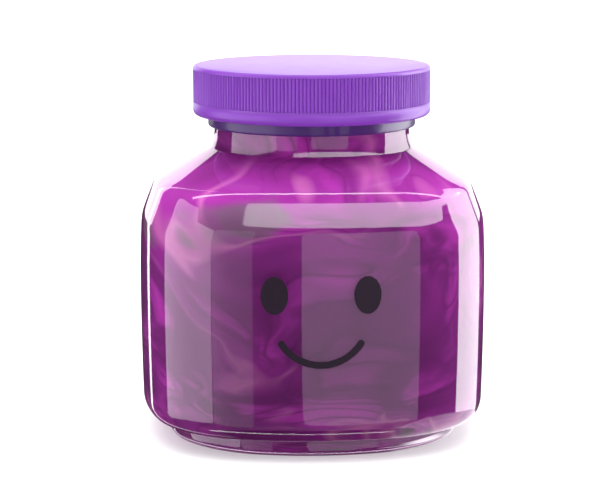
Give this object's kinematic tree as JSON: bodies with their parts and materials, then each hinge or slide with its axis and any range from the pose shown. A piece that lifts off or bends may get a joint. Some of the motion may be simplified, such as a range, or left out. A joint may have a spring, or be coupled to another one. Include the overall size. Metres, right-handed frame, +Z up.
{
  "type": "paint jar",
  "caption": "Squared glass jar of marbled paint with a rounded shoulder, round threaded neck and a double-walled ribbed screw cap that turns and rises off the thread.",
  "frame": {"origin": "centre of the foot on the surface that the jar stands on", "axes": "+Z up along the axis of the neck and cap, -Y towards the printed front, +X to its right"},
  "size_m": [0.0668, 0.0668, 0.0705],
  "materials": {
    "clear_glass": "polished",
    "paint": "gloss",
    "print_ink": "matt",
    "liner_foam": "matt",
    "inner_cap_plastic": "gloss",
    "cap_shell_plastic": "satin"
  },
  "bodies": {
    "jar": {"jar_glass": "clear_glass", "paint": "paint", "print_dot_left": "print_ink", "print_dot_right": "print_ink", "print_smile": "print_ink"},
    "liner": {"cap_liner": "liner_foam"},
    "cap": {"cap_inner": "inner_cap_plastic", "cap_shell": "cap_shell_plastic"}
  },
  "joints": [
    {"name": "cap_rise", "type": "slide", "parent": "jar", "child": "liner", "axis": [0, 0, 1], "range_m": [0, 0.0128]},
    {"name": "cap_turn", "type": "hinge", "parent": "liner", "child": "cap", "pos_m": [0, 0, 0.067], "axis": [0, 0, 1], "range_deg": [0, 1080]}
  ],
  "couplings": [
    {"joint": "cap_rise", "follows": "cap_turn", "m_per_rad": 0.0006737}
  ]
}
